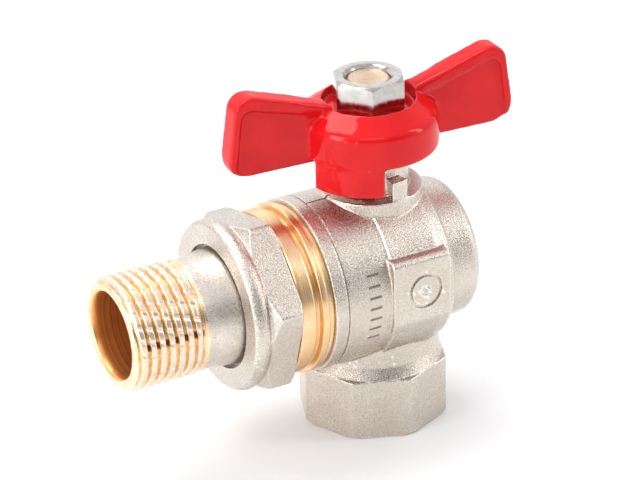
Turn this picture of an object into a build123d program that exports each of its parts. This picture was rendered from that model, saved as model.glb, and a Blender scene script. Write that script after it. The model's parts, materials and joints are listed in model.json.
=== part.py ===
from build123d import *

import os
from math import cos, radians, sin

# Angle ball valve with a union tailpiece and a butterfly handle, as the pieces that it comes apart into.
# Millimetres. The origin is the centre of the lower port's mouth, +Z runs up the stem, +X runs along the
# pipe axis towards the closed end of the body, and the union is on the -X side.

# Pipe threads: G1/2 on the tailpiece and in the lower port, G3/4 under the union nut
G12_MAJOR_RADIUS = 20.955 / 2
G12_MINOR_RADIUS = 18.631 / 2
G34_MAJOR_RADIUS = 26.441 / 2
THREAD_CLEARANCE = 0.08
BORE_RADIUS = 7.5

# Small sizes that repeat
PAST = 1.0                          # how far a cut, or the root of an added form, runs past a face
EDGE = 0.3                          # a turned edge's break
FIT = 0.05                          # radial clearance between pieces that are pushed together

# Heights
PIPE_Z = 29.3                       # the pipe axis and the ball's centre
PORT_THREAD_TOP_Z = 13.0
PORT_CONE_TOP_Z = 14.2
OCTAGON_TOP_Z = PIPE_Z - 17.6
SHOULDER_Z = PIPE_Z + 14.0          # where the stem's thrust washer bears on the body
BOSS_TOP_Z = PIPE_Z + 16.4
LUG_TOP_Z = PIPE_Z + 20.0
NECK_TOP_Z = PIPE_Z + 22.0

# Stations along the pipe axis
TAIL_END_X = -52.7
TAIL_THREAD_END_X = -38.5
NUT_FRONT_X = -32.0
NUT_LIP_X = -30.3
NUT_HEX_X = -28.9
TAIL_COLLAR_REAR_X = -28.4
CONNECTOR_FRONT_X = -27.2
NUT_REAR_X = -22.9
COLLAR_FRONT_X = -22.8
GROOVE_FRONT_X = -19.8
FLANGE_FRONT_X = -18.6
BODY_FRONT_X = -16.25
CONNECTOR_SHOULDER_X = -10.3
BAND_FRONT_X = -4.2
BAND_REAR_X = 8.7
BODY_END_X = 16.0

# Body: barrel with a band round it, and the closed end
BARREL_RADIUS = 16.0
BAND_RADIUS = 16.45
BAND_TAPER_X = 5.2
BAND_SHOULDER_X = 7.9
BAND_SHOULDER_RADIUS = 15.85
BAND_REAR_RADIUS = 15.2
END_RADIUS = 13.0
END_ROUNDING = 2.0
HAIRLINE_X = -13.6
HAIRLINE_HALF_WIDTH = 0.15
HAIRLINE_DEPTH = 0.2
# Lower port
OCTAGON_AF = 26.0
OCTAGON_CORNER = 1.0
PORT_MOUTH_RADIUS = G12_MAJOR_RADIUS + 0.4
PORT_NECK_RADIUS = 11.9
PORT_NECK_FLARE = ((13.0, 0.0), (12.1, 2.2), (PORT_NECK_RADIUS, 4.5))   # radius, height over the octagon
# Pad on the front: depths along Y and heights from the pipe axis, round its section
PAD_FRONT_X = -4.8
PAD_LENGTH = 11.7
PAD_SECTION = ((-8.0, -6.3), (-15.6, -6.3), (-16.5, -4.4), (-16.5, 7.2), (-15.74, 7.96), (-8.0, 8.1))
# Stem boss and the lugs that stop the handle
BOSS_RADIUS = 9.5
NECK_RADIUS = 7.0
LUG_OUTER_RADIUS = 9.3
LUG_ANGLES = ((-94.0, -73.0), (79.0, 100.0))
# Inside the body
CHAMBER_RADIUS = 12.4
CONNECTOR_SOCKET_RADIUS = 13.4
SEAT_RADIUS = 10.8
SEAT_BORE_RADIUS = 7.6
SEAT_FACE_X = 7.0
SEAT_BACK_X = 10.5
SEAT_END_GAP = 0.05
REAR_POCKET_X = 7.4
FRONT_POCKET_X = -7.6
BALL_RECESS_X = 12.3

# Ball and stem
BALL_RADIUS = 11.5
BALL_CLEARANCE = 0.04
SLOT_FLOOR_Z = PIPE_Z + 8.8
SLOT_WIDTH = 3.1
TANG_WIDTH = 3.0
TANG_RADIUS = 5.9
TANG_BOTTOM_Z = PIPE_Z + 9.0
STEM_RADIUS = 4.95
STEM_BORE_RADIUS = 5.0
STEM_COLLAR_RADIUS = 6.0
STEM_COLLAR_BORE_RADIUS = 6.15
STEM_COLLAR_BOTTOM_Z = PIPE_Z + 11.7
STEM_COLLAR_TOP_Z = PIPE_Z + 13.2
STEM_SHOULDER_Z = PIPE_Z + 26.5     # the handle's web rests here
STEM_FLATS_TOP_Z = PIPE_Z + 31.2
STEM_TOP_Z = PIPE_Z + 37.0
STEM_FLATS_RADIUS = 4.7
STEM_FLATS_AF = 7.0
STEM_THREAD_RADIUS = 3.95
STEM_CHAMFER = 0.4
WASHER_END_GAP = 0.02
O_RING_HEIGHTS = {"stem_o_ring_lower": PIPE_Z + 16.6, "stem_o_ring_upper": PIPE_Z + 19.6}
O_RING_RADIUS = 0.84
O_RING_CENTRE_RADIUS = 4.12
O_RING_GROOVE_RADIUS = 3.25
O_RING_GROOVE_WIDTH = 2.0

# Handle, drawn at rest just short of the fully open position
HANDLE_YAW = -3.8
DRUM_RADIUS = 12.6
DRUM_BOTTOM_Z = PIPE_Z + 24.2
DRUM_EDGE = 0.4
DRUM_SHOULDER = ((12.6, 30.0), (12.3, 30.7), (11.6, 31.2))   # radius, height over the pipe axis
RECESS_RADIUS = 8.35
RECESS_RIM_Z = PIPE_Z + 33.4
RECESS_FLOOR_Z = PIPE_Z + 31.5
CAVITY_RADIUS = 8.2
SKIRT_RADIUS = 12.4
SKIRT_BOTTOM_Z = PIPE_Z + 18.9
SKIRT_ANGLES = ((-172.0, -107.0), (15.0, 73.0))
WING_THICKNESS = 4.4
WING_BOTTOM_Z = PIPE_Z + 23.4
WING_ROOT_BOTTOM_Z = PIPE_Z + 25.4
WING_ROOT_TOP_Z = PIPE_Z + 33.9
WING_TIP_TOP_Z = PIPE_Z + 39.7      # where the top and the tip would meet without their rounded corner
WING_BEND_REACH = 10.5
WING_BOTTOM_REACH = 28.5
WING_TOP_REACH = 26.3
WING_ROOT_REACH = 8.0
WING_CORNER = 3.2
# The shallow faces inside each wing's thicker rim
FACE_DEPTH = 0.8
FACE_ROOT_REACH = 6.0
FACE_BOTTOM_REACH = 27.1
FACE_TOP_REACH = 25.35
FACE_TIP_TOP_Z = PIPE_Z + 36.7
FACE_ROOT_TOP_Z = PIPE_Z + 31.3
FACE_CORNER = 2.0
HANDLE_NUT_AF = 12.0
HANDLE_NUT_TOP_Z = PIPE_Z + 37.5
HANDLE_NUT_YAW = 6.4
HANDLE_NUT_BORE_RADIUS = 4.0
HANDLE_NUT_REACH = 7.2
HANDLE_NUT_CHAMFER = 0.7

# Union
TAIL_BORE_RADIUS = 8.0
TAIL_LEAD_IN = 1.0
TAIL_BARREL_RADIUS = 10.17
TAIL_FLARE_X = -34.0
TAIL_FLARE_RADIUS = 10.6
TAIL_COLLAR_RADIUS = 12.0
GASKET_BORE_RADIUS = 8.3
NUT_HOLE_RADIUS = 11.36
NUT_AF = 29.8
NUT_CORNER_YAW = 48.0
NUT_CORNER_ROUNDING = 1.0
NUT_CORNER_REACH = 17.3
NUT_SHOULDER_X = -27.3
NUT_REAR_CHAMFER = 0.7
NUT_REAR_RADIUS = 16.2
NUT_RIM_RADIUS = 15.0
NUT_COLLAR_RADIUS = 15.45
NUT_COLLAR_CREST_X = -31.5
NUT_COLLAR_ROOT_RADIUS = 15.1
NUT_CAVITY_RADIUS = G34_MAJOR_RADIUS + THREAD_CLEARANCE
CONNECTOR_CHAMFER = 0.8
COLLAR_RADIUS = 15.25
GROOVE_RADIUS = 14.5
FLANGE_RADIUS = 15.7
FLANGE_STEP_X = -17.3
FLANGE_STEP_RADIUS = 15.2

PIPE_AXIS = Axis((0, 0, PIPE_Z), (1, 0, 0))
PIPE_SECTION = Plane((0, 0, PIPE_Z), x_dir=(1, 0, 0), z_dir=(0, -1, 0))
STEM_SECTION = Plane.XZ
HANDLE_BASE = Plane.XY.rotated((0, 0, HANDLE_YAW))
HANDLE_SIDE = Plane((0, 0, 0), x_dir=HANDLE_BASE.x_dir, z_dir=-HANDLE_BASE.y_dir)
BALL_INLET = Plane((0, 0, PIPE_Z), x_dir=HANDLE_BASE.y_dir, z_dir=-HANDLE_BASE.x_dir)
BALL_OUTLET = Plane((0, 0, PIPE_Z), x_dir=(1, 0, 0), z_dir=(0, 0, -1))


def across_pipe(x):
    """The plane square to the pipe axis at x, with local x along +Y and local y along +Z."""
    return Plane((x, 0, PIPE_Z), x_dir=(0, 1, 0), z_dir=(1, 0, 0))


def wedge(angles, reach):
    """The corners of a wedge from the axis, between two angles in degrees, longer than reach."""
    start, end = angles
    between = [start + (end - start) * step / 2 for step in range(3)]
    return [(0, 0)] + [(2 * reach * cos(radians(a)), 2 * reach * sin(radians(a))) for a in between]


os.makedirs("parts", exist_ok=True)

# Forged body: barrel, closed end, octagonal lower port, stem boss with its neck and stop lugs, and a pad
with BuildPart() as body:
    with BuildSketch(PIPE_SECTION):
        Polygon(
            (BODY_FRONT_X, 0),
            (BODY_FRONT_X, BARREL_RADIUS),
            (BAND_FRONT_X, BARREL_RADIUS),
            (BAND_FRONT_X, BAND_RADIUS),
            (BAND_TAPER_X, BAND_RADIUS),
            (BAND_SHOULDER_X, BAND_SHOULDER_RADIUS),
            (BAND_REAR_X, BAND_REAR_RADIUS),
            (BAND_REAR_X, END_RADIUS),
            (BODY_END_X, END_RADIUS),
            (BODY_END_X, 0),
            align=None,
        )
    revolve(axis=PIPE_AXIS)
    end_rim = body.edges().filter_by(GeomType.CIRCLE).group_by(Axis.X)[-1]
    fillet(end_rim, radius=END_ROUNDING)
    # Neck under the barrel, and the octagon with rounded corners
    with BuildSketch(STEM_SECTION):
        Polygon(
            (0, OCTAGON_TOP_Z - PAST),
            (PORT_NECK_FLARE[0][0], OCTAGON_TOP_Z - PAST),
            *[(radius, OCTAGON_TOP_Z + height) for radius, height in PORT_NECK_FLARE],
            (PORT_NECK_RADIUS, PIPE_Z),
            (0, PIPE_Z),
            align=None,
        )
    revolve(axis=Axis.Z)
    with BuildSketch(Plane.XY) as octagon:
        RegularPolygon(radius=OCTAGON_AF / 2, side_count=8, major_radius=False)
        fillet(octagon.vertices(), radius=OCTAGON_CORNER)
    extrude(amount=OCTAGON_TOP_Z)
    # Pad on the front: a flat face with bevelled top and bottom edges
    with BuildSketch(across_pipe(PAD_FRONT_X)):
        Polygon(*PAD_SECTION, align=None)
    extrude(amount=PAD_LENGTH)
    # Stem boss, its neck, and the lugs that stop the handle
    with BuildSketch(Plane.XY.offset(PIPE_Z)):
        Circle(BOSS_RADIUS)
    extrude(amount=BOSS_TOP_Z - PIPE_Z)
    with BuildSketch(Plane.XY.offset(PIPE_Z)):
        Circle(NECK_RADIUS)
    extrude(amount=NECK_TOP_Z - PIPE_Z)
    for angles in LUG_ANGLES:
        with BuildSketch(Plane.XY.offset(BOSS_TOP_Z - PAST)):
            Circle(LUG_OUTER_RADIUS)
            Circle(NECK_RADIUS - PAST, mode=Mode.SUBTRACT)
            Polygon(*wedge(angles, LUG_OUTER_RADIUS), align=None, mode=Mode.INTERSECT)
        extrude(amount=LUG_TOP_Z - BOSS_TOP_Z + PAST)
    # Ball chamber, the pocket for the rear seat with a recess behind it that clears the ball, and the
    # socket that the end connector screws into
    with BuildSketch(PIPE_SECTION):
        Polygon(
            (BODY_FRONT_X - PAST, 0),
            (BODY_FRONT_X - PAST, CONNECTOR_SOCKET_RADIUS),
            (CONNECTOR_SHOULDER_X, CONNECTOR_SOCKET_RADIUS),
            (CONNECTOR_SHOULDER_X, CHAMBER_RADIUS),
            (REAR_POCKET_X, CHAMBER_RADIUS),
            (REAR_POCKET_X, SEAT_RADIUS + FIT),
            (SEAT_BACK_X + SEAT_END_GAP, SEAT_RADIUS + FIT),
            (SEAT_BACK_X + SEAT_END_GAP, BORE_RADIUS),
            (BALL_RECESS_X, BORE_RADIUS),
            (BALL_RECESS_X, 0),
            align=None,
        )
    revolve(axis=PIPE_AXIS, mode=Mode.SUBTRACT)
    # Hairline turned round the barrel
    with BuildSketch(PIPE_SECTION):
        Polygon(
            (HAIRLINE_X - HAIRLINE_HALF_WIDTH, BARREL_RADIUS + PAST),
            (HAIRLINE_X - HAIRLINE_HALF_WIDTH, BARREL_RADIUS),
            (HAIRLINE_X, BARREL_RADIUS - HAIRLINE_DEPTH),
            (HAIRLINE_X + HAIRLINE_HALF_WIDTH, BARREL_RADIUS),
            (HAIRLINE_X + HAIRLINE_HALF_WIDTH, BARREL_RADIUS + PAST),
            align=None,
        )
    revolve(axis=PIPE_AXIS, mode=Mode.SUBTRACT)
    # Stem bore and the shoulder over the thrust washer
    with BuildSketch(STEM_SECTION):
        Polygon(
            (0, PIPE_Z),
            (STEM_COLLAR_BORE_RADIUS, PIPE_Z),
            (STEM_COLLAR_BORE_RADIUS, SHOULDER_Z),
            (STEM_BORE_RADIUS, SHOULDER_Z),
            (STEM_BORE_RADIUS, NECK_TOP_Z + PAST),
            (0, NECK_TOP_Z + PAST),
            align=None,
        )
    revolve(axis=Axis.Z, mode=Mode.SUBTRACT)
    # Lower port: tapped bore with a lead-in at 45 degrees, then the passage up to the ball
    with BuildSketch(STEM_SECTION):
        Polygon(
            (0, -PAST),
            (PORT_MOUTH_RADIUS + PAST, -PAST),
            (G12_MINOR_RADIUS, PORT_MOUTH_RADIUS - G12_MINOR_RADIUS),
            (G12_MINOR_RADIUS, PORT_THREAD_TOP_Z),
            (BORE_RADIUS, PORT_CONE_TOP_Z),
            (BORE_RADIUS, PIPE_Z),
            (0, PIPE_Z),
            align=None,
        )
    revolve(axis=Axis.Z, mode=Mode.SUBTRACT)
body.part.label = "body"
export_step(body.part, "parts/body.step")

# Ball with a bore that turns from the union's side down to the lower port, and a slot for the stem's tang
with BuildPart() as ball:
    with Locations((0, 0, PIPE_Z)):
        Sphere(BALL_RADIUS)
    for opening in (BALL_INLET, BALL_OUTLET):
        with BuildSketch(opening):
            Circle(BORE_RADIUS)
        extrude(amount=BALL_RADIUS + PAST, mode=Mode.SUBTRACT)
    with Locations((0, 0, PIPE_Z)):
        Sphere(BORE_RADIUS, mode=Mode.SUBTRACT)
    with BuildSketch(HANDLE_BASE.offset(SLOT_FLOOR_Z)):
        Rectangle(2 * BALL_RADIUS, SLOT_WIDTH)
    extrude(amount=BALL_RADIUS, mode=Mode.SUBTRACT)
ball.part.label = "ball"
export_step(ball.part, "parts/ball.step")

# Seats: plastic rings whose inner face follows the ball
for seat_name, start_x in (("seat_front", -SEAT_BACK_X), ("seat_rear", SEAT_FACE_X)):
    with BuildPart() as seat:
        with BuildSketch(across_pipe(start_x)):
            Circle(SEAT_RADIUS)
            Circle(SEAT_BORE_RADIUS, mode=Mode.SUBTRACT)
        extrude(amount=SEAT_BACK_X - SEAT_FACE_X)
        with Locations((0, 0, PIPE_Z)):
            Sphere(BALL_RADIUS + BALL_CLEARANCE, rotation=(0, 90, 0), mode=Mode.SUBTRACT)
    seat.part.label = seat_name
    export_step(seat.part, f"parts/{seat_name}.step")

# End connector: screwed into the body, with a flange outside and the union's male thread on its free end
with BuildPart() as end_connector:
    with BuildSketch(PIPE_SECTION):
        Polygon(
            (CONNECTOR_FRONT_X, BORE_RADIUS),
            (CONNECTOR_FRONT_X, G34_MAJOR_RADIUS - CONNECTOR_CHAMFER),
            (CONNECTOR_FRONT_X + CONNECTOR_CHAMFER, G34_MAJOR_RADIUS),
            (COLLAR_FRONT_X, G34_MAJOR_RADIUS),
            (COLLAR_FRONT_X, COLLAR_RADIUS - EDGE),
            (COLLAR_FRONT_X + EDGE, COLLAR_RADIUS),
            (GROOVE_FRONT_X, COLLAR_RADIUS),
            (GROOVE_FRONT_X + EDGE, GROOVE_RADIUS),
            (FLANGE_FRONT_X - EDGE, GROOVE_RADIUS),
            (FLANGE_FRONT_X, FLANGE_RADIUS),
            (FLANGE_STEP_X - EDGE, FLANGE_RADIUS),
            (FLANGE_STEP_X, FLANGE_STEP_RADIUS),
            (BODY_FRONT_X, FLANGE_STEP_RADIUS),
            (BODY_FRONT_X, CONNECTOR_SOCKET_RADIUS - FIT),
            (CONNECTOR_SHOULDER_X, CONNECTOR_SOCKET_RADIUS - FIT),
            (CONNECTOR_SHOULDER_X, CHAMBER_RADIUS - FIT),
            (FRONT_POCKET_X, CHAMBER_RADIUS - FIT),
            (FRONT_POCKET_X, SEAT_RADIUS + FIT),
            (-SEAT_BACK_X - SEAT_END_GAP, SEAT_RADIUS + FIT),
            (-SEAT_BACK_X - SEAT_END_GAP, BORE_RADIUS),
            align=None,
        )
    revolve(axis=PIPE_AXIS)
end_connector.part.label = "end_connector"
export_step(end_connector.part, "parts/end_connector.step")

# Stem: put in from inside the body, so that its collar can't blow out
with BuildPart() as stem:
    with BuildSketch(STEM_SECTION):
        Polygon(
            (0, STEM_COLLAR_BOTTOM_Z),
            (STEM_COLLAR_RADIUS, STEM_COLLAR_BOTTOM_Z),
            (STEM_COLLAR_RADIUS, STEM_COLLAR_TOP_Z),
            (STEM_RADIUS, STEM_COLLAR_TOP_Z),
            (STEM_RADIUS, STEM_SHOULDER_Z),
            (STEM_FLATS_RADIUS, STEM_SHOULDER_Z),
            (STEM_FLATS_RADIUS, STEM_FLATS_TOP_Z),
            (STEM_THREAD_RADIUS, STEM_FLATS_TOP_Z),
            (STEM_THREAD_RADIUS, STEM_TOP_Z - STEM_CHAMFER),
            (STEM_THREAD_RADIUS - STEM_CHAMFER, STEM_TOP_Z),
            (0, STEM_TOP_Z),
            align=None,
        )
    revolve(axis=Axis.Z)
    for height in O_RING_HEIGHTS.values():
        with BuildSketch(Plane.XY.offset(height - O_RING_GROOVE_WIDTH / 2)):
            Circle(STEM_RADIUS + PAST)
            Circle(O_RING_GROOVE_RADIUS, mode=Mode.SUBTRACT)
        extrude(amount=O_RING_GROOVE_WIDTH, mode=Mode.SUBTRACT)
    # Flats that turn the handle with the stem
    for side in (1, -1):
        with BuildSketch(HANDLE_BASE.offset(STEM_SHOULDER_Z)):
            with Locations((0, side * (STEM_FLATS_AF / 2 + STEM_RADIUS))):
                Rectangle(4 * STEM_RADIUS, 2 * STEM_RADIUS)
        extrude(amount=RECESS_FLOOR_Z - STEM_SHOULDER_Z, mode=Mode.SUBTRACT)
    # Tang in the ball's slot
    with BuildSketch(HANDLE_BASE.offset(TANG_BOTTOM_Z)):
        Circle(TANG_RADIUS)
        Rectangle(4 * TANG_RADIUS, TANG_WIDTH, mode=Mode.INTERSECT)
    extrude(amount=STEM_COLLAR_BOTTOM_Z - TANG_BOTTOM_Z)
stem.part.label = "stem"
export_step(stem.part, "parts/stem.step")

# Thrust washer between the stem's collar and the body
with BuildPart() as stem_washer:
    with BuildSketch(Plane.XY.offset(STEM_COLLAR_TOP_Z + WASHER_END_GAP)):
        Circle(STEM_COLLAR_RADIUS)
        Circle(STEM_BORE_RADIUS + FIT, mode=Mode.SUBTRACT)
    extrude(amount=SHOULDER_Z - STEM_COLLAR_TOP_Z - 2 * WASHER_END_GAP)
stem_washer.part.label = "stem_washer"
export_step(stem_washer.part, "parts/stem_washer.step")

# Seal rings in the stem's grooves
for ring_name, height in O_RING_HEIGHTS.items():
    with BuildPart() as o_ring:
        with BuildSketch(STEM_SECTION):
            with Locations((O_RING_CENTRE_RADIUS, height)):
                Circle(O_RING_RADIUS)
        revolve(axis=Axis.Z)
    o_ring.part.label = ring_name
    export_step(o_ring.part, f"parts/{ring_name}.step")

# Butterfly handle: two wings, a drum, the recess for its nut, and two skirts that meet the body's lugs
with BuildPart() as handle:
    for side in (1, -1):
        with BuildSketch(HANDLE_SIDE) as wing:
            Polygon(
                (0, WING_ROOT_BOTTOM_Z),
                (side * WING_BEND_REACH, WING_BOTTOM_Z),
                (side * WING_BOTTOM_REACH, WING_BOTTOM_Z),
                (side * WING_TOP_REACH, WING_TIP_TOP_Z),
                (side * WING_ROOT_REACH, WING_ROOT_TOP_Z),
                (0, RECESS_RIM_Z - PAST),
                align=None,
            )
            fillet([v for v in wing.vertices() if abs(v.X) > WING_TOP_REACH - PAST], radius=WING_CORNER)
        extrude(amount=WING_THICKNESS / 2, both=True)
        for face_side in (1, -1):
            with BuildSketch(HANDLE_SIDE.offset(face_side * (WING_THICKNESS / 2 - FACE_DEPTH))) as face:
                Polygon(
                    (side * FACE_ROOT_REACH, WING_BOTTOM_Z - PAST),
                    (side * FACE_BOTTOM_REACH, WING_BOTTOM_Z - PAST),
                    (side * FACE_TOP_REACH, FACE_TIP_TOP_Z),
                    (side * FACE_ROOT_REACH, FACE_ROOT_TOP_Z),
                    align=None,
                )
                fillet([v for v in face.vertices() if v.Y > FACE_TIP_TOP_Z - PAST], radius=FACE_CORNER)
            extrude(amount=face_side * 2 * FACE_DEPTH, mode=Mode.SUBTRACT)
    with BuildSketch(STEM_SECTION):
        Polygon(
            (0, DRUM_BOTTOM_Z),
            (DRUM_RADIUS - DRUM_EDGE, DRUM_BOTTOM_Z),
            (DRUM_RADIUS, DRUM_BOTTOM_Z + DRUM_EDGE),
            *[(radius, PIPE_Z + height) for radius, height in DRUM_SHOULDER],
            (RECESS_RADIUS, RECESS_RIM_Z),
            (0, RECESS_RIM_Z),
            align=None,
        )
    revolve(axis=Axis.Z)
    for angles in SKIRT_ANGLES:
        with BuildSketch(Plane.XY.offset(SKIRT_BOTTOM_Z)):
            Circle(SKIRT_RADIUS)
            Polygon(*wedge(angles, SKIRT_RADIUS), align=None, mode=Mode.INTERSECT)
        extrude(amount=DRUM_BOTTOM_Z - SKIRT_BOTTOM_Z + PAST)
    # Cavity that clears the neck and the lugs, the recess for the nut, and the hole with two flats
    with BuildSketch(Plane.XY.offset(SKIRT_BOTTOM_Z - PAST)):
        Circle(CAVITY_RADIUS)
    extrude(amount=STEM_SHOULDER_Z - SKIRT_BOTTOM_Z + PAST, mode=Mode.SUBTRACT)
    with BuildSketch(Plane.XY.offset(RECESS_FLOOR_Z)):
        Circle(RECESS_RADIUS)
    extrude(amount=STEM_TOP_Z - RECESS_FLOOR_Z, mode=Mode.SUBTRACT)
    with BuildSketch(HANDLE_BASE.offset(STEM_SHOULDER_Z - PAST)):
        Circle(STEM_FLATS_RADIUS + FIT)
        Rectangle(4 * STEM_RADIUS, STEM_FLATS_AF + 2 * FIT, mode=Mode.INTERSECT)
    extrude(amount=RECESS_FLOOR_Z - STEM_SHOULDER_Z + 2 * PAST, mode=Mode.SUBTRACT)
handle.part.label = "handle"
export_step(handle.part, "parts/handle.step")

# Handle nut in the recess, with both ends chamfered
with BuildPart() as handle_nut:
    with BuildSketch(Plane.XY.offset(RECESS_FLOOR_Z)):
        RegularPolygon(radius=HANDLE_NUT_AF / 2, side_count=6, major_radius=False, rotation=HANDLE_NUT_YAW)
        Circle(HANDLE_NUT_BORE_RADIUS, mode=Mode.SUBTRACT)
    extrude(amount=HANDLE_NUT_TOP_Z - RECESS_FLOOR_Z)
    with BuildSketch(STEM_SECTION):
        Polygon(
            (0, RECESS_FLOOR_Z),
            (HANDLE_NUT_AF / 2, RECESS_FLOOR_Z),
            (HANDLE_NUT_REACH, RECESS_FLOOR_Z + HANDLE_NUT_CHAMFER),
            (HANDLE_NUT_REACH, HANDLE_NUT_TOP_Z - HANDLE_NUT_CHAMFER),
            (HANDLE_NUT_AF / 2, HANDLE_NUT_TOP_Z),
            (0, HANDLE_NUT_TOP_Z),
            align=None,
        )
    revolve(axis=Axis.Z, mode=Mode.INTERSECT)
handle_nut.part.label = "handle_nut"
export_step(handle_nut.part, "parts/handle_nut.step")

# Tailpiece: outside thread, a plain barrel that flares to the collar under the union nut
with BuildPart() as tailpiece:
    with BuildSketch(PIPE_SECTION):
        Polygon(
            (TAIL_END_X, TAIL_BORE_RADIUS + EDGE),
            (TAIL_END_X, G12_MAJOR_RADIUS - TAIL_LEAD_IN),
            (TAIL_END_X + TAIL_LEAD_IN, G12_MAJOR_RADIUS),
            (TAIL_THREAD_END_X, G12_MAJOR_RADIUS),
            (TAIL_THREAD_END_X + EDGE, TAIL_BARREL_RADIUS),
            (TAIL_FLARE_X, TAIL_FLARE_RADIUS),
            (NUT_LIP_X + FIT, TAIL_FLARE_RADIUS),
            (NUT_LIP_X + FIT, TAIL_COLLAR_RADIUS),
            (TAIL_COLLAR_REAR_X, TAIL_COLLAR_RADIUS),
            (TAIL_COLLAR_REAR_X, TAIL_BORE_RADIUS),
            (TAIL_END_X + EDGE, TAIL_BORE_RADIUS),
            align=None,
        )
    revolve(axis=PIPE_AXIS)
tailpiece.part.label = "tailpiece"
export_step(tailpiece.part, "parts/tailpiece.step")

# Flat gasket between the tailpiece's collar and the end connector
with BuildPart() as union_gasket:
    with BuildSketch(across_pipe(TAIL_COLLAR_REAR_X)):
        Circle(TAIL_COLLAR_RADIUS)
        Circle(GASKET_BORE_RADIUS, mode=Mode.SUBTRACT)
    extrude(amount=CONNECTOR_FRONT_X - TAIL_COLLAR_REAR_X)
union_gasket.part.label = "union_gasket"
export_step(union_gasket.part, "parts/union_gasket.step")

# Union nut: a rounded collar in front of a hexagon with chamfered corners
with BuildPart() as union_nut:
    with BuildSketch(across_pipe(NUT_HEX_X - PAST)) as hexagon:
        RegularPolygon(radius=NUT_AF / 2, side_count=6, major_radius=False, rotation=NUT_CORNER_YAW)
        fillet(hexagon.vertices(), radius=NUT_CORNER_ROUNDING)
    extrude(amount=NUT_REAR_X - NUT_HEX_X + PAST)
    with BuildSketch(PIPE_SECTION):
        Polygon(
            (NUT_HEX_X - PAST, 0),
            (NUT_HEX_X - PAST, NUT_COLLAR_ROOT_RADIUS - EDGE),
            (NUT_HEX_X, NUT_COLLAR_ROOT_RADIUS),
            (NUT_SHOULDER_X, NUT_CORNER_REACH),
            (NUT_REAR_X - NUT_REAR_CHAMFER, NUT_CORNER_REACH),
            (NUT_REAR_X, NUT_REAR_RADIUS),
            (NUT_REAR_X, 0),
            align=None,
        )
    revolve(axis=PIPE_AXIS, mode=Mode.INTERSECT)
    with BuildSketch(PIPE_SECTION):
        with BuildLine():
            Polyline(
                (NUT_HEX_X, NUT_COLLAR_ROOT_RADIUS),
                (NUT_HEX_X, 0),
                (NUT_FRONT_X, 0),
                (NUT_FRONT_X, NUT_RIM_RADIUS),
            )
            ThreePointArc(
                (NUT_FRONT_X, NUT_RIM_RADIUS),
                (NUT_COLLAR_CREST_X, NUT_COLLAR_RADIUS),
                (NUT_HEX_X, NUT_COLLAR_ROOT_RADIUS),
            )
        make_face()
    revolve(axis=PIPE_AXIS)
    with BuildSketch(PIPE_SECTION):
        Polygon(
            (NUT_FRONT_X - PAST, 0),
            (NUT_FRONT_X - PAST, NUT_HOLE_RADIUS),
            (NUT_LIP_X, NUT_HOLE_RADIUS),
            (NUT_LIP_X, NUT_CAVITY_RADIUS),
            (NUT_REAR_X + PAST, NUT_CAVITY_RADIUS),
            (NUT_REAR_X + PAST, 0),
            align=None,
        )
    revolve(axis=PIPE_AXIS, mode=Mode.SUBTRACT)
union_nut.part.label = "union_nut"
export_step(union_nut.part, "parts/union_nut.step")
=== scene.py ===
import json
from math import cos, pi, radians, tau

import bmesh
import bpy
import numpy as np
from mathutils import Matrix, Vector


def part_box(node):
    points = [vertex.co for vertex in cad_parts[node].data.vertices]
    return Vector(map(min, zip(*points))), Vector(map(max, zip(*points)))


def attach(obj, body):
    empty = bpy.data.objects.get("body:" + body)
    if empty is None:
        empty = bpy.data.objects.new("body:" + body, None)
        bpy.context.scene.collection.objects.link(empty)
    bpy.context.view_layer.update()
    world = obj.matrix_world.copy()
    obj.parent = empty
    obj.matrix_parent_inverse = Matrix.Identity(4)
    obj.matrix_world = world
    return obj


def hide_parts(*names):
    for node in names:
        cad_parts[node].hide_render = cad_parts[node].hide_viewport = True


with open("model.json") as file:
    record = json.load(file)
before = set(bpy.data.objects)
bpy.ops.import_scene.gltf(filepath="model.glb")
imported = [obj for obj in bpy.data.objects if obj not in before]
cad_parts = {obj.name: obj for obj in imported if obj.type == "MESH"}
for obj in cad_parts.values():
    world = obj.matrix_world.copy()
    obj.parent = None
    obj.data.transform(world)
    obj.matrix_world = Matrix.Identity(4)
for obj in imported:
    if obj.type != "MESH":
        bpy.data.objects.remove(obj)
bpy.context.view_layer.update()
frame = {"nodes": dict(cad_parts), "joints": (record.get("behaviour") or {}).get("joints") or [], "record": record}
nodes = frame["nodes"]

# ------------------------------------------------------------------ places and sizes
# Outlines are in millimetres, measured from the frame: x along the pipe axis, z up the stem.
MM = 0.001


def mount(name):
    """One of the record's mounts."""
    return next(m for m in frame["record"]["mounts"] if m["name"] == name)


def joint(name):
    """One of the frame's joints."""
    return next(j for j in frame["joints"] if j["name"] == name)


def reach(node, axis):
    """The lowest and highest coordinate of a CAD node along an axis, in millimetres."""
    low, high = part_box(node)
    return low["XYZ".index(axis)] / MM, high["XYZ".index(axis)] / MM


PIPE_Z = joint("handle_turn")["pos_m"][2] / MM
TAIL_FRONT, TAIL_REAR = reach("tailpiece", "X")
NUT_FRONT = reach("union_nut", "X")[0]
CONNECTOR_FRONT, CONNECTOR_REAR = reach("end_connector", "X")
BODY_FRONT = reach("body", "X")[0]
BODY_LOW = reach("body", "Z")[0]
PAD_FACE = reach("body", "Y")[0]
NUT_TOP = reach("handle_nut", "Z")[1]

PITCH = 25.4 / 14                   # G1/2 has 14 threads to the inch
THREAD_CREST = mount("tail_thread")["dims"]["r_mm"]
PORT_CREST = mount("lower_port")["dims"]["r_mm"]
BARREL = 16.0                       # radius of the body round the pipe axis
FLOW_BORE = 7.5
TAIL_BORE = 8.0
TAIL_COLLAR = 12.0
CONNECTOR_THREAD = 13.2             # crest of the connector's thread for the union nut
SEAT_POCKET_X, SEAT_POCKET = -10.55, 10.85      # where the front seat sits in the connector, and its radius

# ------------------------------------------------------------------ mesh helpers


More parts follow.
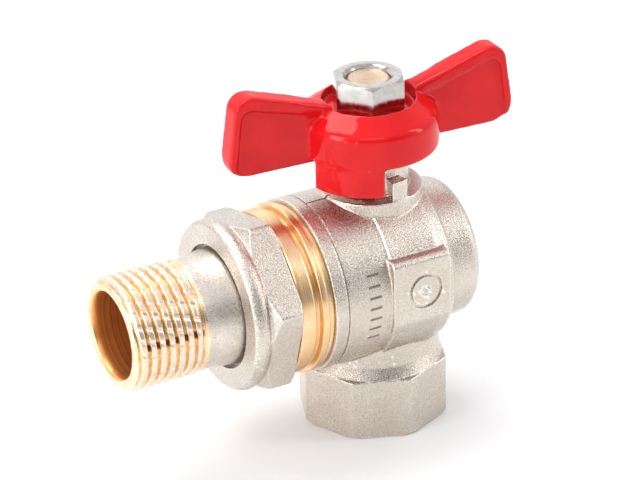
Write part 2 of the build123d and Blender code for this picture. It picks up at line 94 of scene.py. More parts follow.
def new_object(name, verts, faces):
    """A mesh object from points in millimetres."""
    mesh = bpy.data.meshes.new(name)
    mesh.from_pydata(np.asarray(verts) * MM, [], faces)
    facing_out = bmesh.new()
    facing_out.from_mesh(mesh)
    bmesh.ops.recalc_face_normals(facing_out, faces=facing_out.faces)
    facing_out.to_mesh(mesh)
    facing_out.free()
    mesh.shade_smooth()
    obj = bpy.data.objects.new(name, mesh)
    bpy.context.scene.collection.objects.link(obj)
    return obj


def skin(name, rings, closed=False):
    """A surface through rings of points. Closed joins the last ring to the first; otherwise it is capped."""
    n, count = len(rings[0]), len(rings)
    verts = [np.vstack(rings)]
    faces = []
    for i in range(count if closed else count - 1):
        a, b = i * n, ((i + 1) % count) * n
        faces += [(a + j, a + (j + 1) % n, b + (j + 1) % n, b + j) for j in range(n)]
    if not closed:
        verts += [rings[0].mean(0)[None], rings[-1].mean(0)[None]]
        first, last = n * count, n * count + 1
        faces += [(first, (j + 1) % n, j) for j in range(n)]
        faces += [(last, (count - 1) * n + j, (count - 1) * n + (j + 1) % n) for j in range(n)]
    return new_object(name, np.vstack(verts), faces)


def turns(count):
    """Angles once round, without repeating the first."""
    return np.arange(count) * tau / count


def round_pipe(x, radius, angles):
    """A ring round the pipe axis at x. Its radius may vary with the angle, which runs from -Y towards +Z."""
    radius = np.broadcast_to(radius, angles.shape)
    x = np.broadcast_to(x, angles.shape)
    return np.c_[x, -radius * np.cos(angles), PIPE_Z + radius * np.sin(angles)]


def round_stem(z, radius, angles):
    """A ring round the stem's axis at height z."""
    radius = np.broadcast_to(radius, angles.shape)
    return np.c_[radius * np.cos(angles), radius * np.sin(angles), np.broadcast_to(z, angles.shape)]


def follow(outline, step):
    """Points along an outline, no further apart than step, with its corners kept."""
    points = [outline[0]]
    for (x0, r0), (x1, r1) in zip(outline, outline[1:]):
        parts = max(1, int(np.ceil(np.hypot(x1 - x0, r1 - r0) / step)))
        points += [(x0 + (x1 - x0) * k / parts, r0 + (r1 - r0) * k / parts) for k in range(1, parts + 1)]
    return points


def rounded(outline, radius, segments=4):
    """An outline with its inner corners rounded, by at most radius."""
    corners = [Vector(p) for p in outline]
    made = [tuple(corners[0])]
    for before, here, after in zip(corners, corners[1:], corners[2:]):
        cut = min(radius, (before - here).length * 0.45, (after - here).length * 0.45)
        start = here + (before - here).normalized() * cut
        end = here + (after - here).normalized() * cut
        for k in range(segments + 1):
            t = k / segments
            made.append(tuple(start * (1 - t) ** 2 + here * 2 * t * (1 - t) + end * t ** 2))
    return made + [tuple(corners[-1])]


def modified(obj):
    """Bakes an object's modifiers into its mesh."""
    bpy.context.view_layer.update()
    made = bpy.data.meshes.new_from_object(obj.evaluated_get(bpy.context.evaluated_depsgraph_get()))
    obj.modifiers.clear()
    obj.data = made


def copy_of(node, name):
    """A new object with a copy of a CAD node's mesh, its faces sewn together."""
    obj = bpy.data.objects.new(name, nodes[node].data.copy())
    sewn = bmesh.new()
    sewn.from_mesh(obj.data)
    bmesh.ops.remove_doubles(sewn, verts=sewn.verts, dist=0.002 * MM)
    sewn.to_mesh(obj.data)
    sewn.free()
    bpy.context.scene.collection.objects.link(obj)
    obj.data.materials.clear()
    return obj


def cut_away(obj, cutter):
    """Cuts the cutter from obj. Both have to be closed meshes, and the cutter is removed."""
    change = obj.modifiers.new("cut", "BOOLEAN")
    change.operation = "DIFFERENCE"
    change.solver = "MANIFOLD"
    change.object = cutter
    modified(obj)
    bpy.data.objects.remove(cutter)


def soften(obj, voxel, rounds, extra=None, extra_rounds=0):
    """Remeshes at voxel millimetres and averages the points, which rounds every edge a little, as on a casting.
    Extra takes the points in millimetres and says how far, from 0 to 1, extra_rounds more apply to each."""
    remesh = obj.modifiers.new("skin", "REMESH")
    remesh.mode = "VOXEL"
    remesh.voxel_size = voxel * MM
    modified(obj)
    mesh = obj.data
    co = np.empty(len(mesh.vertices) * 3, np.float32)
    mesh.vertices.foreach_get("co", co)
    co = co.reshape(-1, 3).astype(float)
    edges = np.empty(len(mesh.edges) * 2, np.int32)
    mesh.edges.foreach_get("vertices", edges)
    ends = edges.reshape(-1, 2)
    ends = np.vstack([ends, ends[:, ::-1]])
    degree = np.bincount(ends[:, 0], minlength=len(co))
    weight = 0.5
    for turn in range(rounds + extra_rounds):
        if turn == rounds:
            weight = 0.5 * extra(co / MM)[:, None]
        total = [np.bincount(ends[:, 0], co[ends[:, 1], axis], len(co)) for axis in range(3)]
        co += weight * (np.transpose(total) / degree[:, None] - co)
    mesh.vertices.foreach_set("co", co.astype(np.float32).ravel())
    mesh.update()
    mesh.shade_smooth()
    return obj


def crease(obj, degrees):
    """Smooth shading apart from edges sharper than an angle."""
    obj.data.shade_smooth()
    obj.data.set_sharp_from_angle(angle=radians(degrees))


def points_of(obj):
    """An object's points, in millimetres."""
    co = np.empty(len(obj.data.vertices) * 3, np.float32)
    obj.data.vertices.foreach_get("co", co)
    return co.reshape(-1, 3).astype(float) / MM


def mark(obj, name, values):
    """A number at each point, which the material reads."""
    obj.data.attributes.new(name, "FLOAT", "POINT").data.foreach_set("value", values.astype(np.float32))


def ease(low, high, value):
    """0 below low, 1 above high, smooth between them."""
    t = np.clip((value - low) / (high - low), 0, 1)
    return t * t * (3 - 2 * t)


# ------------------------------------------------------------------ camera
# It stands where a fit to the photograph places it. Distance and shifts are in metres.
AZIMUTH, ELEVATION, ROLL = -29.08, 26.88, -1.25
DISTANCE, SHIFT_RIGHT, SHIFT_UP = 0.56676, 0.00923, 0.00417
LENS = 175.17                       # millimetres, on a sensor 36 wide

aim = Vector(joint("handle_turn")["pos_m"])
turned = Matrix.Rotation(radians(AZIMUTH), 3, "Z") @ Matrix.Rotation(radians(90 - ELEVATION), 3, "X")
turned = turned @ Matrix.Rotation(radians(ROLL), 3, "Z")
camera = bpy.data.objects.new("camera", bpy.data.cameras.new("camera"))
camera.data.sensor_width = 36
camera.data.lens = LENS
camera.data.clip_start = 0.05
stand = aim + turned @ Vector((-SHIFT_RIGHT, SHIFT_UP, DISTANCE))
camera.matrix_world = Matrix.Translation(stand) @ turned.to_4x4()
bpy.context.scene.collection.objects.link(camera)
bpy.context.scene.camera = camera
bpy.context.scene.view_settings.view_transform = "Standard"

# ------------------------------------------------------------------ floor and light


def light(name, place, size, brightness):
    """A soft rectangular panel that faces the valve."""
    data = bpy.data.lights.new(name, "AREA")
    data.shape = "RECTANGLE"
    data.size, data.size_y = size
    data.energy = brightness * pi * size[0] * size[1]
    lamp = bpy.data.objects.new(name, data)
    facing_valve = (Vector(place) - aim).to_track_quat("Z", "Y").to_matrix().to_4x4()
    lamp.matrix_world = Matrix.Translation(place) @ facing_valve
    bpy.context.scene.collection.objects.link(lamp)


light("panel_top", (-0.12, 0.20, 0.56), (0.42, 0.30), 4.6)
light("panel_front", (-0.22, -0.52, 0.56), (0.46, 0.22), 1.75)
light("panel_left", (-0.62, -0.08, 0.24), (0.26, 0.44), 5.3)
light("panel_right", (0.50, -0.30, 0.30), (0.12, 0.50), 4.8)
light("panel_back", (0.05, 0.75, 0.34), (1.00, 0.45), 0.50)

# The room is pale, and dark on the side that the photographer stands on
world = bpy.data.worlds.new("studio")
bpy.context.scene.world = world
world.use_nodes = True
room = world.node_tree
facing = room.nodes.new("ShaderNodeVectorMath")
facing.operation = "DOT_PRODUCT"
facing.inputs[1].default_value = Vector((-0.15, -0.97, -0.12)).normalized()
room.links.new(room.nodes.new("ShaderNodeTexCoord").outputs["Generated"], facing.inputs[0])
tone = room.nodes.new("ShaderNodeMapRange")
tone.interpolation_type = "SMOOTHSTEP"
for socket, value in {"From Min": 0.35, "From Max": 0.95, "To Min": 0.88, "To Max": 0.12}.items():
    tone.inputs[socket].default_value = value
room.links.new(facing.outputs["Value"], tone.inputs["Value"])
room.links.new(tone.outputs["Result"], room.nodes["Background"].inputs["Strength"])
room.nodes["Background"].inputs["Color"].default_value = (0.98, 0.98, 1.0, 1)

# ------------------------------------------------------------------ materials


class Material:
    """A Principled material, with short calls for the nodes that feed it."""

    def __init__(self, name, **constants):
        self.data = bpy.data.materials.new(name)
        self.data.use_nodes = True
        self.tree = self.data.node_tree
        self.shader = self.tree.nodes["Principled BSDF"]
        for socket, value in constants.items():
            self.shader.inputs[socket.replace("_", " ")].default_value = value
        self.place = self.node("ShaderNodeTexCoord").outputs["Object"]

    def node(self, kind, **settings):
        """A node; settings name its properties, or its inputs as numbers, colours or links."""
        made = self.tree.nodes.new(kind)
        for name, value in settings.items():
            if hasattr(made, name):
                setattr(made, name, value)
                continue
            key = int(name[1:]) if name[0] == "i" and name[1:].isdigit() else name.replace("_", " ")
            if isinstance(value, bpy.types.NodeSocket):
                self.tree.links.new(value, made.inputs[key])
            else:
                made.inputs[key].default_value = value
        return made

    def noise(self, scale, vector=None, detail=2.0, roughness=0.5):
        """Noise from 0 to 1, with scale cells to a metre."""
        place = vector or self.place
        made = self.node("ShaderNodeTexNoise", Vector=place, Scale=scale, Detail=detail, Roughness=roughness)
        return made.outputs["Fac"]

    def math(self, operation, a, b=0.0):
        return self.node("ShaderNodeMath", operation=operation, i0=a, i1=b).outputs[0]

    def span(self, value, low, high, to_low=0.0, to_high=1.0):
        """Maps low..high smoothly to to_low..to_high."""
        made = self.node(
            "ShaderNodeMapRange",
            interpolation_type="SMOOTHSTEP",
            Value=value,
            From_Min=low,
            From_Max=high,
            To_Min=to_low,
            To_Max=to_high,
        )
        return made.outputs["Result"]

    def blend(self, factor, a, b):
        """Colour a where the factor is 0, b where it is 1."""
        return self.node("ShaderNodeMix", data_type="RGBA", i0=factor, i6=a, i7=b).outputs[2]

    def attribute(self, name):
        return self.node("ShaderNodeAttribute", attribute_name=name).outputs["Fac"]

    def sharpness(self):
        """High on outer edges, low in corners."""
        return self.node("ShaderNodeNewGeometry").outputs["Pointiness"]

    def tool_rings(self, scale, axis):
        """Fine rings that a lathe leaves, round the pipe or the stem, on walls and on end faces alike."""
        x, y, z = self.node("ShaderNodeSeparateXYZ", Vector=self.place).outputs
        if axis == "pipe":
            along, across, up = x, y, self.math("SUBTRACT", z, PIPE_Z * MM)
        else:
            along, across, up = z, x, y
        squares = self.math("ADD", self.math("MULTIPLY", across, across), self.math("MULTIPLY", up, up))
        rings = self.node("ShaderNodeCombineXYZ", X=along, Y=self.math("SQRT", squares)).outputs[0]
        return self.noise(scale, rings, detail=3.0, roughness=0.7)

    def bump(self, height, distance, normal=None):
        """A bump, distance in millimetres, over another if one is given."""
        settings = {"Normal": normal} if normal else {}
        made = self.node("ShaderNodeBump", Height=height, Distance=distance * MM, Strength=1.0, **settings)
        return made.outputs["Normal"]

    def set(self, **links):
        for socket, link in links.items():
            self.tree.links.new(link, self.shader.inputs[socket.replace("_", " ")])
        return self.data


NICKEL, NICKEL_DULL = (0.75, 0.685, 0.62, 1), (0.67, 0.60, 0.53, 1)
GRAIN_DARK = (0.56, 0.49, 0.42, 1)  # the pits of the sand-blasted grain
BRASS, BRASS_DEEP = (0.94, 0.74, 0.51, 1), (0.86, 0.60, 0.33, 1)


def nickel():
    """Nickel plate over a sand-blasted forging, with bare brass in the port, where the thread was cut."""
    m = Material("nickel_cast", Metallic=1.0)
    clouds = m.noise(160, detail=4.0)
    grain = m.noise(4200, detail=3.0, roughness=0.6)
    # Convex edges get a lighter colour, which is a painted highlight, and a lower roughness, which is rubbed wear
    edge_wear_and_highlight = m.span(m.sharpness(), 0.50, 0.56)
    colour = m.blend(m.span(clouds, 0.35, 0.68), NICKEL_DULL, NICKEL)
    colour = m.blend(m.span(grain, 0.36, 0.60), GRAIN_DARK, colour)
    colour = m.blend(edge_wear_and_highlight, colour, (0.83, 0.81, 0.78, 1))
    plate = m.attribute("plate")
    colour = m.blend(plate, BRASS, colour)
    rough = m.math("ADD", m.span(grain, 0.3, 0.7, 0.18, 0.32), m.math("MULTIPLY", edge_wear_and_highlight, -0.08))
    coarse = m.noise(1500, detail=2.0)
    height = m.math("ADD", grain, m.math("MULTIPLY", coarse, 0.3))
    etch = m.math("MULTIPLY", m.attribute("etch"), m.span(grain, 0.25, 0.6, 0.6, 1.0))
    colour = m.blend(etch, colour, (0.17, 0.125, 0.09, 1))
    rough = m.math("ADD", rough, m.math("MULTIPLY", etch, 0.25))
    sanded = m.bump(m.math("MULTIPLY", height, plate), 0.095)
    return m.set(Base_Color=colour, Roughness=rough, Normal=sanded)


def tail_finish():
    """A lighter plate on the tailpiece's barrel, bare brass on its thread and darker brass down the bore."""
    m = Material("thread_brass", Metallic=1.0)
    plate, knurl, bore, dark_reflection = (m.attribute(name) for name in ("plate", "knurl", "bore", "dark_reflection"))
    clouds = m.noise(700, detail=3.0)
    rings = m.tool_rings(9000, "pipe")
    grain = m.noise(3800, detail=3.0, roughness=0.6)
    brass = m.blend(m.span(clouds, 0.3, 0.7), BRASS_DEEP, BRASS)
    pressed = m.math("MULTIPLY", knurl, m.span(grain, 0.3, 0.6, 0.6, 1.0))
    brass = m.blend(pressed, brass, (0.90, 0.80, 0.72, 1))
    bored = m.tool_rings(2600, "pipe")
    bore_brass = m.blend(m.span(bored, 0.35, 0.65), (0.78, 0.36, 0.11, 1), (1.0, 0.60, 0.25, 1))
    brass = m.blend(bore, brass, bore_brass)
    # A painted dark reflection: dark brown in the thread's grooves, in a row at one angle
    reflected_dark = m.math("MULTIPLY", dark_reflection, m.span(grain, 0.2, 0.6, 0.7, 1.0))
    brass = m.blend(reflected_dark, brass, (0.30, 0.15, 0.06, 1))
    plated = m.blend(m.span(clouds, 0.3, 0.7), NICKEL, (0.88, 0.82, 0.76, 1))
    plated = m.blend(m.span(grain, 0.36, 0.60), (0.66, 0.59, 0.52, 1), plated)
    rough = m.math("ADD", m.span(grain, 0.3, 0.7, 0.20, 0.32), m.math("MULTIPLY", plate, 0.06))
    rough = m.math("ADD", rough, m.math("MULTIPLY", bore, 0.14))
    rough = m.math("ADD", rough, m.math("MULTIPLY", knurl, 0.16))
    sanded = m.bump(m.math("MULTIPLY", grain, plate), 0.08)
    turned = m.math("ADD", rings, m.math("MULTIPLY", bored, m.math("MULTIPLY", bore, 3.0)))
    colour = m.blend(plate, brass, plated)
    return m.set(Base_Color=colour, Roughness=rough, Normal=m.bump(turned, 0.012, sanded))


def turned_brass(name, axis, distance, colours=(BRASS_DEEP, BRASS)):
    """Brass off the lathe, with its tool rings."""
    m = Material(name, Metallic=1.0)
    clouds = m.noise(260, detail=4.0)
    rings = m.tool_rings(8000, axis)
    colour = m.blend(m.span(clouds, 0.3, 0.7), *colours)
    rough = m.span(rings, 0.3, 0.7, 0.20, 0.36)
    return m.set(Base_Color=colour, Roughness=rough, Normal=m.bump(rings, distance))


def red_paint():
    """Thick glossy powder coat, with a little orange peel."""
    coat = {"Coat_Weight": 0.7, "Coat_Roughness": 0.07, "Coat_IOR": 1.42}
    m = Material("red_paint", Roughness=0.4, Specular_IOR_Level=0.0, **coat)
    clouds = m.noise(120, detail=3.0)
    # Convex edges and beads are painted a lighter red: a painted highlight
    painted_edge_highlight = m.span(m.sharpness(), 0.50, 0.58)
    colour = m.blend(m.span(clouds, 0.3, 0.7), (0.62, 0.005, 0.008, 1), (0.72, 0.010, 0.013, 1))
    colour = m.blend(m.math("MULTIPLY", painted_edge_highlight, 0.5), colour, (0.86, 0.06, 0.06, 1))
    peel = m.noise(650, detail=2.0)
    return m.set(Base_Color=colour, Normal=m.bump(peel, 0.05), Coat_Normal=m.bump(peel, 0.035))


def zinc():
    """Bright zinc plate on a turned and milled nut."""
    m = Material("plated_steel", Metallic=1.0)
    rings = m.tool_rings(6500, "stem")
    blotches = m.noise(900, detail=4.0)
    colour = m.blend(m.span(blotches, 0.3, 0.7), (0.44, 0.42, 0.40, 1), (0.55, 0.53, 0.51, 1))
    rough = m.span(blotches, 0.3, 0.7, 0.10, 0.24)
    return m.set(Base_Color=colour, Roughness=rough, Normal=m.bump(rings, 0.010, m.bump(blotches, 0.02)))


def chrome():
    m = Material("chrome", Metallic=1.0)
    haze = m.noise(500, detail=4.0)
    scuffs = m.noise(5200, detail=2.0)
    colour = m.blend(haze, (0.80, 0.81, 0.83, 1), (0.88, 0.89, 0.90, 1))
    rough = m.span(haze, 0.3, 0.7, 0.04, 0.10)
    return m.set(Base_Color=colour, Roughness=rough, Normal=m.bump(scuffs, 0.002))


def soft_plastic():
    """White PTFE, waxy, with skiving marks."""
    m = Material("seat_plastic", Subsurface_Weight=0.15, Subsurface_Scale=0.001)
    marks = m.noise(1800, detail=4.0)
    colour = m.blend(marks, (0.82, 0.82, 0.79, 1), (0.93, 0.93, 0.91, 1))
    rough = m.span(marks, 0.3, 0.7, 0.38, 0.55)
    return m.set(Base_Color=colour, Roughness=rough, Normal=m.bump(marks, 0.015))


def rubber():
    m = Material("seal_rubber", Specular_IOR_Level=0.35)
    bloom = m.noise(1400, detail=5.0)
    colour = m.blend(m.span(bloom, 0.4, 0.75), (0.012, 0.012, 0.013, 1), (0.045, 0.044, 0.042, 1))
    return m.set(Base_Color=colour, Roughness=m.span(bloom, 0.3, 0.7, 0.45, 0.7), Normal=m.bump(bloom, 0.02))


def pale_floor():
    m = Material("floor", Roughness=0.6, Specular_IOR_Level=0.2)
    paper = m.noise(900, detail=3.0)
    colour = m.blend(paper, (0.90, 0.90, 0.90, 1), (0.92, 0.92, 0.92, 1))
    return m.set(Base_Color=colour, Normal=m.bump(paper, 0.01))


NICKEL_FINISH = nickel()
TAIL_FINISH = tail_finish()

FLOOR_HALF, FLOOR_Z = 3000.0, BODY_LOW - 0.02
floor_corners = [(x * FLOOR_HALF, y * FLOOR_HALF, FLOOR_Z) for x, y in ((-1, -1), (1, -1), (1, 1), (-1, 1))]
floor = new_object("floor", floor_corners, [(0, 1, 2, 3)])
floor.data.materials.append(pale_floor())


def finish(obj, material, slot, body, *replaced):
    """Gives a piece its material, its body and the CAD nodes that it stands for."""
    obj.data.materials.clear()
    obj.data.materials.append(material)
    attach(obj, body)
    if replaced:
        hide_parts(*replaced)


# ------------------------------------------------------------------ tailpiece
KNURLS = 26
# The angle of the row of painted dark reflections in the thread's grooves
DARK_REFLECTION_ANGLE = radians(7.5)
THREAD_START = 0.14                 # turns


def groove(x, angles, root, crest, root_width, flank):
    """The radius of a right-hand pipe thread at x, and how near the crest each point is."""
    phase = np.mod(x / PITCH + angles / tau, 1.0)
    away = np.abs(phase - 0.5) * PITCH
    rise = np.clip((away - root_width / 2) / flank, 0, 1)
    return root + (crest - root) * rise, rise


def make_tailpiece():
    angles = turns(KNURLS * 16)
    thread_end, plate_start = TAIL_FRONT + 13.5, TAIL_FRONT + 14.3
    rings, plates, knurls, bores, dark_reflections = [], [], [], [], []

    def add(x, radius, plate, knurl=0.0, bore=0.0, dark_reflection=0.0):
        rings.append(round_pipe(x, radius, angles))
        bores.append(np.full(angles.shape, bore))
        dark_reflections.append(np.broadcast_to(dark_reflection, angles.shape))
        plates.append(np.broadcast_to(plate, angles.shape))
        knurls.append(np.broadcast_to(knurl, angles.shape))

    # Bore, from the union to the mouth, then the end face
    bore = [(TAIL_REAR, TAIL_BORE), (TAIL_FRONT + 0.35, TAIL_BORE), (TAIL_FRONT, TAIL_BORE + 0.3)]
    for x, radius in follow(bore, 1.2):
        add(x, radius, 0, bore=1.0 if radius == TAIL_BORE else 0.0)
    add(TAIL_FRONT, 8.8, 0)
    add(TAIL_FRONT, 9.3, 0)
    # Thread, which starts through a chamfer and runs out into a plain neck
    for x in np.arange(TAIL_FRONT, thread_end + 0.01, PITCH / 15):
        radius, rise = groove(x + THREAD_START * PITCH, angles, 9.55, THREAD_CREST - 0.03, 0.10, 0.40)
        row = np.mod(angles * KNURLS / tau + x * 0.13, 1.0) - 0.5
        press = np.exp(-(row / 0.13) ** 2) * rise ** 2
        radius = radius - 0.17 * press
        radius = np.minimum(radius, 9.35 + (x - TAIL_FRONT) * 0.95)
        out = ease(thread_end - 0.9, thread_end, x)
        # Each groove gets a painted dark reflection, in a row at one angle round the thread
        away = np.abs(np.mod(angles - DARK_REFLECTION_ANGLE + pi, tau) - pi) * THREAD_CREST
        dark_reflection = (1 - ease(0.50, 0.85, away)) * (1 - ease(0.70, 1.0, rise)) * (x > TAIL_FRONT + 1.5)
        knurl = np.clip(rise ** 3 * (0.55 + 0.6 * press), 0, 1) * (1 - 0.5 * out)
        add(x, radius * (1 - out) + 9.95 * out, 0, knurl, dark_reflection=dark_reflection)
    neck = [
        (thread_end + 0.15, 9.85),
        (thread_end + 0.35, 9.92),
        (plate_start - 0.2, 10.12),
        (plate_start - 0.08, 10.17),
    ]
    for x, radius in follow(neck, 0.25):
        add(x, radius, 0)
    # Plated barrel, flared towards the union, and the collar that the nut pulls on
    barrel = [
        (plate_start, 10.18),
        (TAIL_FRONT + 16.2, 10.18),
        (TAIL_FRONT + 18.6, 10.40),
        (TAIL_FRONT + 20.6, 10.62),
        (NUT_FRONT + 1.3, 10.60),
        (NUT_FRONT + 1.75, 10.75),
        (NUT_FRONT + 1.75, TAIL_COLLAR - 0.2),
        (NUT_FRONT + 1.95, TAIL_COLLAR),
        (TAIL_REAR - 0.2, TAIL_COLLAR),
        (TAIL_REAR, TAIL_COLLAR - 0.2),
    ]
    for x, radius in follow(rounded(barrel, 0.8), 0.5):
        add(x, radius, 1)
    add(TAIL_REAR, 9.0, 1)
    obj = skin("tailpiece_visual", rings, closed=True)
    mark(obj, "plate", np.concatenate(plates))
    mark(obj, "knurl", np.concatenate(knurls))
    mark(obj, "bore", np.concatenate(bores))
    mark(obj, "dark_reflection", np.concatenate(dark_reflections))
    crease(obj, 60)
    finish(obj, TAIL_FINISH, "thread_brass", "tail", "tailpiece")


# ------------------------------------------------------------------ end connector


def make_connector():
    flange = BODY_FRONT
    outline = [
        (CONNECTOR_FRONT + 0.3, FLOW_BORE),
        (CONNECTOR_FRONT, FLOW_BORE + 0.3),
        (CONNECTOR_FRONT, 12.4),
        (CONNECTOR_FRONT + 0.8, CONNECTOR_THREAD),
        (flange - 6.75, CONNECTOR_THREAD),
        (flange - 6.60, 12.4),
        (flange - 6.55, 15.0),
        (flange - 6.3, 15.25),
        (flange - 3.75, 15.25),
        (flange - 3.5, 15.0),
        (flange - 3.35, 14.5),
        (flange - 2.6, 14.5),
        (flange - 2.45, 15.55),
        (flange - 2.3, 15.7),
        (flange - 1.25, 15.7),
        (flange - 1.1, 15.2),
        (flange - 0.6, 15.12),
        (flange - 0.5, 15.25),
        (flange - 0.05, 15.25),
        (flange, 15.1),
        (flange, 13.35),
        (CONNECTOR_REAR - 6.9, 13.35),
        (CONNECTOR_REAR - 6.9, 12.35),
        (CONNECTOR_REAR, 12.35),
        (CONNECTOR_REAR, SEAT_POCKET),
        (SEAT_POCKET_X, SEAT_POCKET),
        (SEAT_POCKET_X, FLOW_BORE),
    ]
    angles = turns(240)
    start, end = CONNECTOR_FRONT + 0.8, flange - 6.75
    rings = []
    for x, radius in follow(rounded(outline, 0.16, 3), 0.15):
        if radius > CONNECTOR_THREAD - 0.05 and start < x < end:
            cut = ease(start, start + 0.6, x) * (1 - ease(end - 0.8, end, x))
            thread = groove(x, angles, CONNECTOR_THREAD - 0.95, CONNECTOR_THREAD, 0.12, 0.6)[0]
            radius = radius - cut * (CONNECTOR_THREAD - thread)
        rings.append(round_pipe(x, radius, angles))
    obj = skin("end_connector_visual", rings, closed=True)
    crease(obj, 50)
    brass = turned_brass("turned_brass", "pipe", 0.03, ((0.85, 0.55, 0.27, 1), (0.94, 0.68, 0.42, 1)))
    finish(obj, brass, "turned_brass", "valve_body", "end_connector")


# ------------------------------------------------------------------ union nut


def make_union_nut():
    obj = soften(copy_of("union_nut", "union_nut_visual"), 0.14, 3)
    mark(obj, "plate", np.ones(len(obj.data.vertices)))
    mark(obj, "etch", np.zeros(len(obj.data.vertices)))
    finish(obj, NICKEL_FINISH, "nickel_cast", "nut", "union_nut")


# ------------------------------------------------------------------ body


def ring_cutter(name, outline, round_axis):
    """A closed ring whose section is the outline."""
    return skin(name, [round_axis(x, radius, turns(180)) for x, radius in outline], closed=True)


def port_cutter():
    """What the tap cuts from the lower port: the thread with its lead-in."""
    angles = turns(160)
    rings = []
    top = BODY_LOW + 12.6
    for z in np.arange(BODY_LOW - 0.3, top, PITCH / 10):
        phase = np.mod(z / PITCH - angles / tau, 1.0)
        rise = np.clip((np.abs(phase - 0.5) * PITCH - 0.1) / 0.5, 0, 1)
        radius = PORT_CREST + 0.04 + 1.08 * (1 - rise) * (1 - ease(top - 1.2, top - 0.2, z))
        lead_in = THREAD_CREST + 0.4 - (z - BODY_LOW)
        rings.append(round_stem(z, np.maximum(radius, lead_in), angles))
    return skin("port_cutter", rings)


def block(name, low, high):
    """A box between two corners."""
    corners = [(x, y, z) for x in (low[0], high[0]) for y in (low[1], high[1]) for z in (low[2], high[2])]
    faces = [(0, 1, 3, 2), (4, 6, 7, 5), (0, 4, 5, 1), (2, 3, 7, 6), (0, 2, 6, 4), (1, 5, 7, 3)]
    return new_object(name, corners, faces)


BAND_END_X = -13.8
EMBLEM = (1.7, PIPE_Z + 1.2)        # x and z of a plain ring and dot sunk in the pad's face
EMBLEM_RADIUS = 3.1
TICK_X, TICK_LENGTH = -8.2, 2.4     # a plain row of etched ticks on the barrel
TICK_ANGLES = np.radians([-22, -14.5, -7, 0.5, 8, 15.5, 23])


def pad_ring(y, radius, angles):
    """A ring round the emblem's centre, at depth y."""
    x, z = EMBLEM
    return np.c_[x + radius * np.cos(angles), np.broadcast_to(y, angles.shape), z + radius * np.sin(angles)]


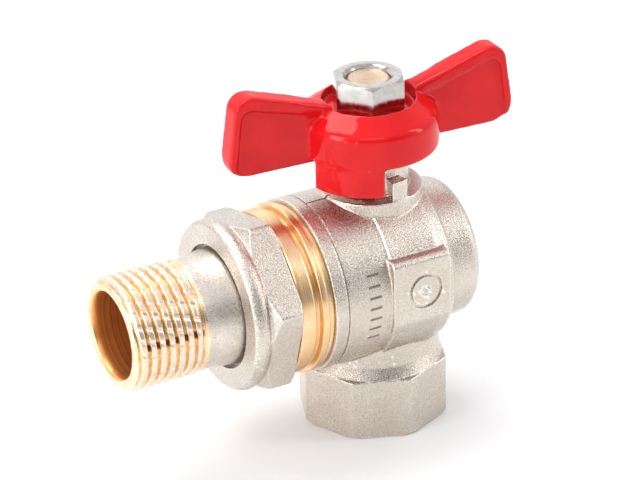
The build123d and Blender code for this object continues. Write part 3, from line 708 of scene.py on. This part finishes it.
def make_body():
    def pad_edge(co):
        """The upper edge of the pad, which the forging die leaves rounder than the others."""
        outer = 1 - ease(PAD_FACE + 1.2, PAD_FACE + 1.8, co[:, 1])
        height = co[:, 2] - PIPE_Z
        return outer * ease(5.4, 6.2, height) * (1 - ease(9.0, 9.6, height))

    obj = soften(copy_of("body", "valve_body_visual"), 0.16, 3, pad_edge, 16)
    cut_away(obj, port_cutter())
    # The octagon's lower corners are turned off in a cone
    corners = [
        (BODY_LOW - 1, 12.4),
        (BODY_LOW - 1, 20),
        (BODY_LOW + 3, 20),
        (BODY_LOW + 1.2, 14.6),
        (BODY_LOW, 13.35),
    ]
    cut_away(obj, ring_cutter("corner_cutter", corners, round_stem))
    # The emblem: a sunk ring with a dot, as the forging die leaves them
    sunk = PAD_FACE + 0.38
    outline = [(PAD_FACE - 1, -0.45), (PAD_FACE - 1, 0.45), (sunk, 0.30), (sunk, -0.30)]
    rings = [pad_ring(y, EMBLEM_RADIUS + r, turns(72)) for y, r in outline]
    cut_away(obj, skin("emblem_cutter", rings, closed=True))
    dot = [(PAD_FACE - 1, 1.0), (PAD_FACE, 1.0), (sunk, 0.75)]
    cut_away(obj, skin("dot_cutter", [pad_ring(y, r, turns(36)) for y, r in dot]))
    # Parting line of the die, on top of the barrel
    seam_y = -BARREL * cos(radians(87))
    low = (BAND_END_X + 0.2, seam_y - 0.2, PIPE_Z + BARREL - 0.45)
    high = (BAND_END_X + 5.2, seam_y + 0.2, PIPE_Z + BARREL + 1)
    cut_away(obj, block("seam", low, high))
    # A fine groove where the band round the connector ends
    hairline = [
        (BAND_END_X, BARREL + 1),
        (BAND_END_X + 0.04, BARREL - 0.40),
        (BAND_END_X + 0.30, BARREL - 0.40),
        (BAND_END_X + 0.34, BARREL + 1),
    ]
    cut_away(obj, ring_cutter("hairline_cutter", hairline, round_pipe))
    co = points_of(obj)
    in_port = (np.hypot(co[:, 0], co[:, 1]) < THREAD_CREST + 0.38) & (co[:, 2] < BODY_LOW + 14.5)
    mark(obj, "plate", 1.0 - in_port)
    # The ticks are a burn in the plate, with no depth to speak of
    radius = np.hypot(co[:, 1], co[:, 2] - PIPE_Z)
    angle = np.arctan2(co[:, 2] - PIPE_Z, -co[:, 1])
    away = np.abs(angle[:, None] - TICK_ANGLES).min(axis=1) * BARREL
    along = np.abs(co[:, 0] - TICK_X)
    etch = (1 - ease(0.12, 0.34, away)) * (1 - ease(TICK_LENGTH / 2 - 0.1, TICK_LENGTH / 2 + 0.1, along))
    mark(obj, "etch", etch * (radius > BARREL - 0.3))
    crease(obj, 38)
    finish(obj, NICKEL_FINISH, "nickel_cast", "valve_body", "body")


# ------------------------------------------------------------------ handle and its nut


def make_handle():
    def thick_coat(co):
        """The lower corners of the wings' tips and the wings' roots, where the coat has gathered."""
        out = np.hypot(co[:, 0], co[:, 1])
        tips = ease(24.0, 26.5, out) * (1 - ease(PIPE_Z + 25.5, PIPE_Z + 28, co[:, 2]))
        roots = ease(8.6, 9.6, out) * (1 - ease(12.5, 15.0, out)) * ease(PIPE_Z + 24, PIPE_Z + 27, co[:, 2])
        return np.maximum(tips, 0.7 * roots)

    obj = soften(copy_of("handle", "handle_visual"), 0.2, 14, thick_coat, 60)
    finish(obj, red_paint(), "red_paint", "turning", "handle")


def make_handle_nut():
    obj = copy_of("handle_nut", "handle_nut_visual")
    mouth = [(NUT_TOP - 0.55, 3.5), (NUT_TOP - 0.55, 4.0), (NUT_TOP + 0.3, 4.85), (NUT_TOP + 0.3, 3.5)]
    cut_away(obj, ring_cutter("mouth_cutter", mouth, round_stem))
    weld = obj.modifiers.new("weld", "WELD")
    weld.merge_threshold = 0.01 * MM
    bevel = obj.modifiers.new("bevel", "BEVEL")
    bevel.width = 0.12 * MM
    bevel.segments = 2
    bevel.limit_method = "ANGLE"
    bevel.angle_limit = radians(20)
    modified(obj)
    crease(obj, 45)
    finish(obj, zinc(), "plated_steel", "turning", "handle_nut")


make_tailpiece()
make_connector()
make_union_nut()
make_body()
make_handle()
make_handle_nut()

# CAD nodes whose shape is right keep their mesh and get their material
STEM_BRASS = turned_brass("stem_brass", "stem", 0.06, ((0.62, 0.44, 0.29, 1), (0.76, 0.59, 0.44, 1)))
PLASTIC, RUBBER = soft_plastic(), rubber()
for node, material in {
    "ball": chrome(),
    "stem": STEM_BRASS,
    "seat_front": PLASTIC,
    "seat_rear": PLASTIC,
    "stem_washer": PLASTIC,
    "stem_o_ring_lower": RUBBER,
    "stem_o_ring_upper": RUBBER,
    "union_gasket": RUBBER,
}.items():
    nodes[node].data.materials.clear()
    nodes[node].data.materials.append(material)
